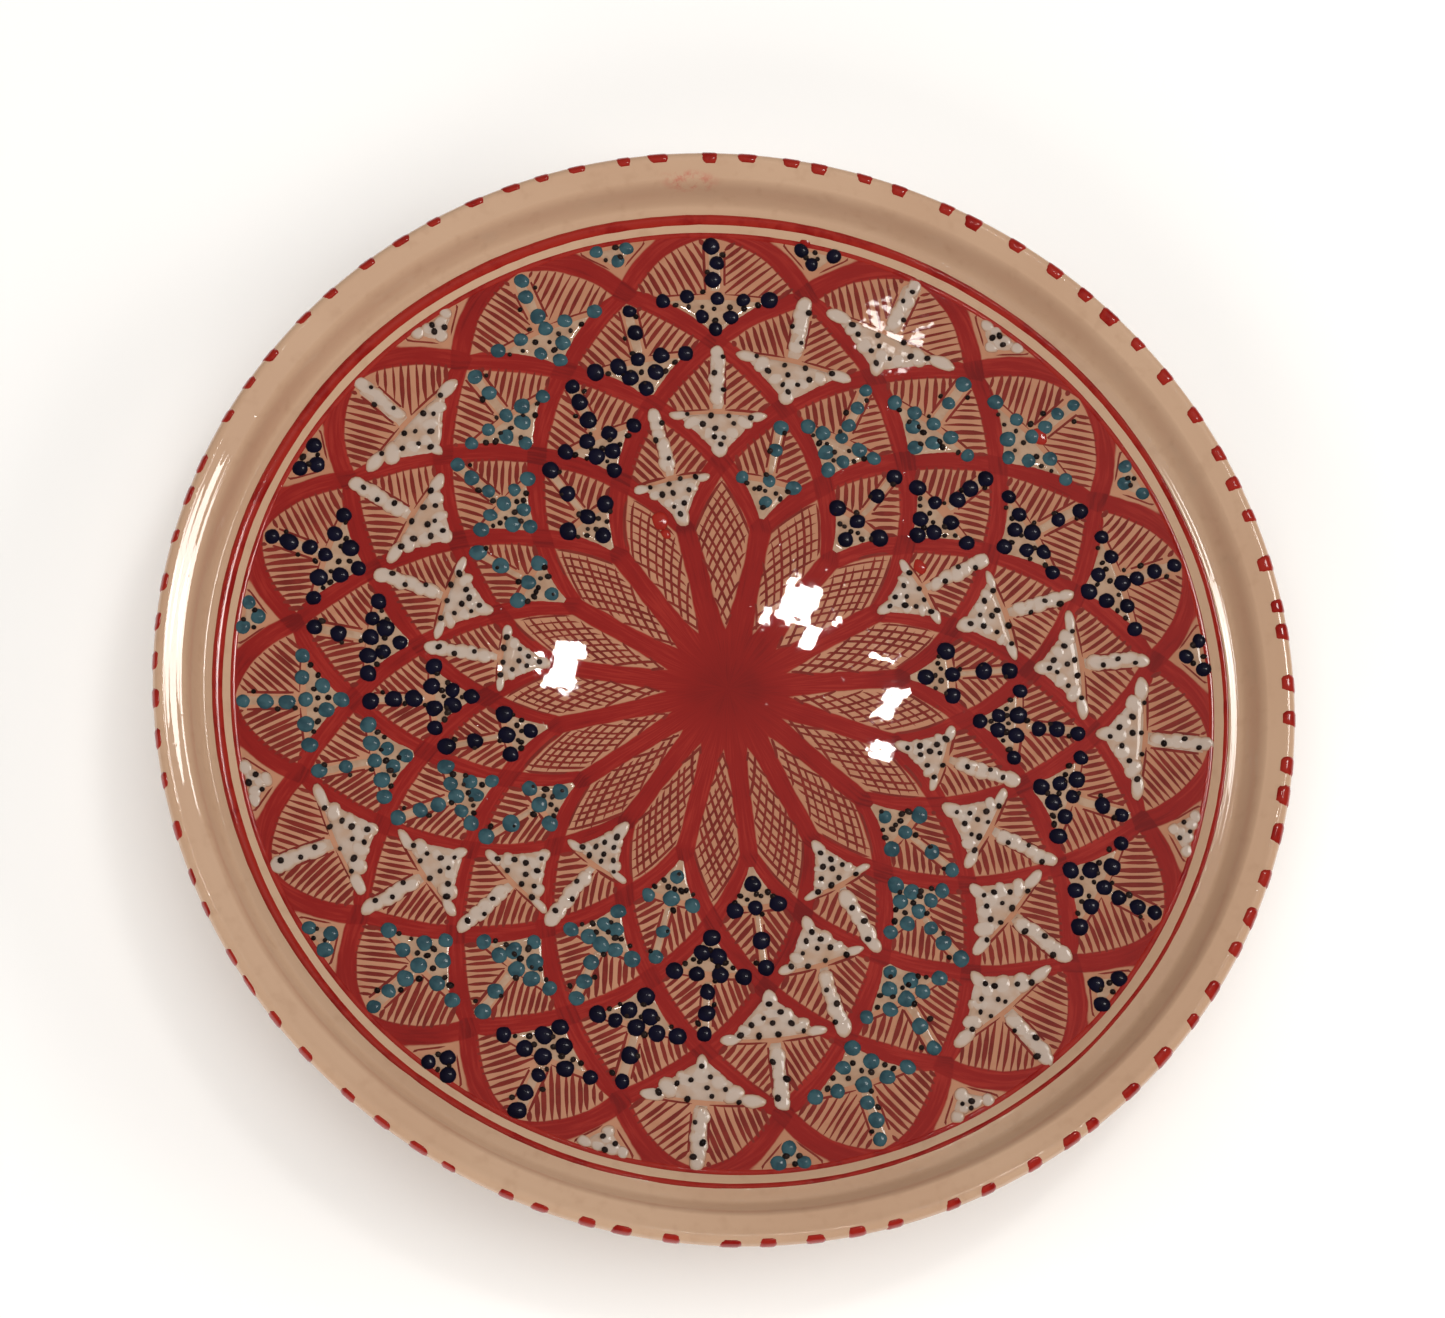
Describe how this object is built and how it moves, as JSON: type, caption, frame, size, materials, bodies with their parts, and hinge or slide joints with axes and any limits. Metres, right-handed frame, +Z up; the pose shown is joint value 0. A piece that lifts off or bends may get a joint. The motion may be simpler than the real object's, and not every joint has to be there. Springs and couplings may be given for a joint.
{
  "type": "hand painted ceramic plate",
  "caption": "Round glazed earthenware serving plate with a rolled rim, a shallow floor, a foot ring and raised slip decoration in a spiral lattice of umbrella shapes.",
  "frame": {"origin": "centre of the foot ring's resting circle, on the surface the plate stands on", "axes": "+Z up along the plate's axis; -Y points to the near side of the plate, +X to its right"},
  "size_m": [0.28, 0.28, 0.033],
  "materials": {
    "cream_glaze": "glossy transparent glaze over a warm cream ground",
    "bare_clay": "matte unglazed terracotta",
    "red_slip": "glossy brushed red under glaze",
    "navy_slip": "glossy raised dots",
    "teal_slip": "glossy raised dots with soft edges",
    "white_slip": "glossy milky trailed slip",
    "black_slip": "small glossy brown-black dots"
  },
  "bodies": {
    "root": {"clay_body": "cream_glaze", "foot_ring": "bare_clay", "red_band": "red_slip", "border_ring": "red_slip", "navy_arm_01": "navy_slip", "white_arm_02": "white_slip", "teal_arm_03": "teal_slip", "navy_arm_04": "navy_slip", "white_arm_05": "white_slip", "navy_arm_06": "navy_slip", "white_arm_07": "white_slip", "teal_arm_08": "teal_slip", "white_arm_09": "white_slip", "navy_arm_10": "navy_slip", "teal_arm_11": "teal_slip", "white_arm_12": "white_slip", "teal_arm_13": "teal_slip", "navy_arm_14": "navy_slip", "white_arm_15": "white_slip", "teal_arm_16": "teal_slip"}
  },
  "joints": []
}
